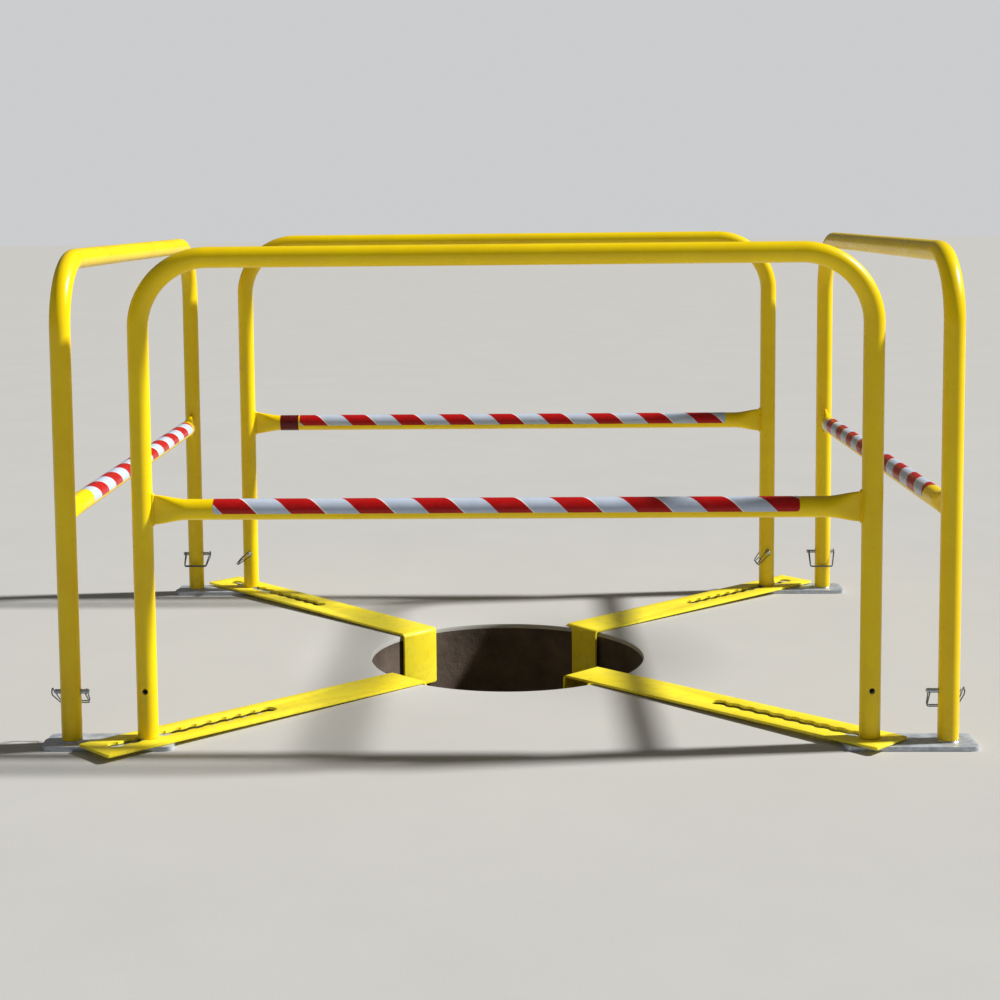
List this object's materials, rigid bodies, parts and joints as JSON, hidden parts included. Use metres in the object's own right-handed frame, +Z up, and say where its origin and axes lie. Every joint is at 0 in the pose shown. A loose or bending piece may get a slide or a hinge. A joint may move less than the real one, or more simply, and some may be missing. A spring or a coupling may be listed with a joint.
{
  "type": "manhole guard barricade",
  "caption": "Free-standing tubular guard rail that fences an open manhole: inverted-U panels on base plates, slotted hook arms and wire-lock pins.",
  "frame": {"origin": "centre of the guard in plan, level with the bottoms of the four hooks; the ground is at z = 0.143 m", "axes": "+X to the right along the front and rear panels, +Y to the rear, +Z up"},
  "size_m": [1.982, 1.8126, 1.2103],
  "materials": {
    "yellow_powder_coat": "gloss powder coat with light orange peel",
    "yellow_arm_coat": "satin powder coat, scuffed",
    "reflective_stripe_tape": "retroreflective tape, red and white diagonal stripes",
    "dark_red_tape": "glossy red tape",
    "galvanised_steel": "hot-dip galvanised, mottled grey",
    "zinc_plated_steel": "zinc plated, satin",
    "spring_wire": "drawn spring wire, satin"
  },
  "bodies": {
    "root": {"base_plate_front_left": "galvanised_steel", "spigot_outer_front_left": "galvanised_steel", "spigot_inner_front_left": "galvanised_steel", "spigot_weld_front_left": "galvanised_steel", "base_plate_front_right": "galvanised_steel", "spigot_outer_front_right": "galvanised_steel", "spigot_inner_front_right": "galvanised_steel", "spigot_weld_front_right": "galvanised_steel", "base_plate_rear_left": "galvanised_steel", "spigot_outer_rear_left": "galvanised_steel", "spigot_inner_rear_left": "galvanised_steel", "spigot_weld_rear_left": "galvanised_steel", "base_plate_rear_right": "galvanised_steel", "spigot_outer_rear_right": "galvanised_steel", "spigot_inner_rear_right": "galvanised_steel", "spigot_weld_rear_right": "galvanised_steel", "rear_frame": "yellow_powder_coat", "rear_mid_rail": "yellow_powder_coat", "rear_rail_welds": "yellow_powder_coat", "rear_tape": "reflective_stripe_tape", "left_frame": "yellow_powder_coat", "left_mid_rail": "yellow_powder_coat", "left_rail_welds": "yellow_powder_coat", "left_tape": "reflective_stripe_tape", "right_frame": "yellow_powder_coat", "right_mid_rail": "yellow_powder_coat", "right_rail_welds": "yellow_powder_coat", "right_tape": "reflective_stripe_tape", "rear_tape_band": "dark_red_tape"},
    "front_panel": {"front_frame": "yellow_powder_coat", "front_mid_rail": "yellow_powder_coat", "front_rail_welds": "yellow_powder_coat", "front_tape": "reflective_stripe_tape"},
    "arm_front_left": {"arm_front_left": "yellow_arm_coat"},
    "arm_front_right": {"arm_front_right": "yellow_arm_coat"},
    "arm_rear_left": {"arm_rear_left": "yellow_arm_coat"},
    "arm_rear_right": {"arm_rear_right": "yellow_arm_coat"},
    "pin_left_front": {"pin_left_front": "zinc_plated_steel"},
    "bail_left_front": {"bail_left_front": "spring_wire"},
    "pin_left_rear": {"pin_left_rear": "zinc_plated_steel"},
    "bail_left_rear": {"bail_left_rear": "spring_wire"},
    "pin_right_front": {"pin_right_front": "zinc_plated_steel"},
    "bail_right_front": {"bail_right_front": "spring_wire"},
    "pin_right_rear": {"pin_right_rear": "zinc_plated_steel"},
    "bail_right_rear": {"bail_right_rear": "spring_wire"},
    "pin_rear_left": {"pin_rear_left": "zinc_plated_steel"},
    "bail_rear_left": {"bail_rear_left": "spring_wire"},
    "pin_rear_right": {"pin_rear_right": "zinc_plated_steel"},
    "bail_rear_right": {"bail_rear_right": "spring_wire"}
  },
  "joints": [
    {"name": "front_panel_lift", "type": "slide", "parent": "root", "child": "front_panel", "axis": [0, 0, 1], "range_m": [0, 0.145]},
    {"name": "arm_front_left_swing", "type": "hinge", "parent": "root", "child": "arm_front_left", "pos_m": [-0.77, -0.77, 0.1565], "axis": [0, 0, 1], "range_deg": [-10, 10]},
    {"name": "arm_front_right_swing", "type": "hinge", "parent": "root", "child": "arm_front_right", "pos_m": [0.77, -0.77, 0.1565], "axis": [0, 0, 1], "range_deg": [-10, 10]},
    {"name": "arm_rear_left_swing", "type": "hinge", "parent": "root", "child": "arm_rear_left", "pos_m": [-0.77, 0.77, 0.1565], "axis": [0, 0, 1], "range_deg": [-10, 10]},
    {"name": "arm_rear_right_swing", "type": "hinge", "parent": "root", "child": "arm_rear_right", "pos_m": [0.77, 0.77, 0.1565], "axis": [0, 0, 1], "range_deg": [-10, 10]},
    {"name": "pin_left_front_turn", "type": "hinge", "parent": "root", "child": "pin_left_front", "pos_m": [-0.935, -0.77, 0.26], "axis": [1, 0, 0], "range_deg": [0, 90]},
    {"name": "bail_left_front_swing", "type": "hinge", "parent": "pin_left_front", "child": "bail_left_front", "pos_m": [-0.902, -0.77, 0.26], "axis": [0, -0.6691, -0.7431], "range_deg": [0, 90]},
    {"name": "pin_left_rear_turn", "type": "hinge", "parent": "root", "child": "pin_left_rear", "pos_m": [-0.935, 0.77, 0.26], "axis": [-1, 0, 0], "range_deg": [0, 90]},
    {"name": "bail_left_rear_swing", "type": "hinge", "parent": "pin_left_rear", "child": "bail_left_rear", "pos_m": [-0.965, 0.77, 0.26], "axis": [0, 0.6428, -0.766], "range_deg": [0, 90]},
    {"name": "pin_right_front_turn", "type": "hinge", "parent": "root", "child": "pin_right_front", "pos_m": [0.935, -0.77, 0.26], "axis": [1, 0, 0], "range_deg": [0, 90]},
    {"name": "bail_right_front_swing", "type": "hinge", "parent": "pin_right_front", "child": "bail_right_front", "pos_m": [0.894, -0.77, 0.26], "axis": [0, 0.829, 0.5592], "range_deg": [0, 90]},
    {"name": "pin_right_rear_turn", "type": "hinge", "parent": "root", "child": "pin_right_rear", "pos_m": [0.935, 0.77, 0.26], "axis": [-1, 0, 0], "range_deg": [0, 90]},
    {"name": "bail_right_rear_swing", "type": "hinge", "parent": "pin_right_rear", "child": "bail_right_rear", "pos_m": [0.895, 0.77, 0.26], "axis": [0, 0.829, -0.5592], "range_deg": [0, 90]},
    {"name": "pin_rear_left_turn", "type": "hinge", "parent": "root", "child": "pin_rear_left", "pos_m": [-0.77, 0.77, 0.2643], "axis": [0, 1, 0], "range_deg": [0, 90]},
    {"name": "bail_rear_left_swing", "type": "hinge", "parent": "pin_rear_left", "child": "bail_rear_left", "pos_m": [-0.77, 0.734, 0.2643], "axis": [-0.6428, 0, 0.766], "range_deg": [0, 90]},
    {"name": "pin_rear_right_turn", "type": "hinge", "parent": "root", "child": "pin_rear_right", "pos_m": [0.77, 0.77, 0.2643], "axis": [0, 1, 0], "range_deg": [0, 90]},
    {"name": "bail_rear_right_swing", "type": "hinge", "parent": "pin_rear_right", "child": "bail_rear_right", "pos_m": [0.77, 0.734, 0.2643], "axis": [-0.766, 0, 0.6428], "range_deg": [0, 90]}
  ]
}
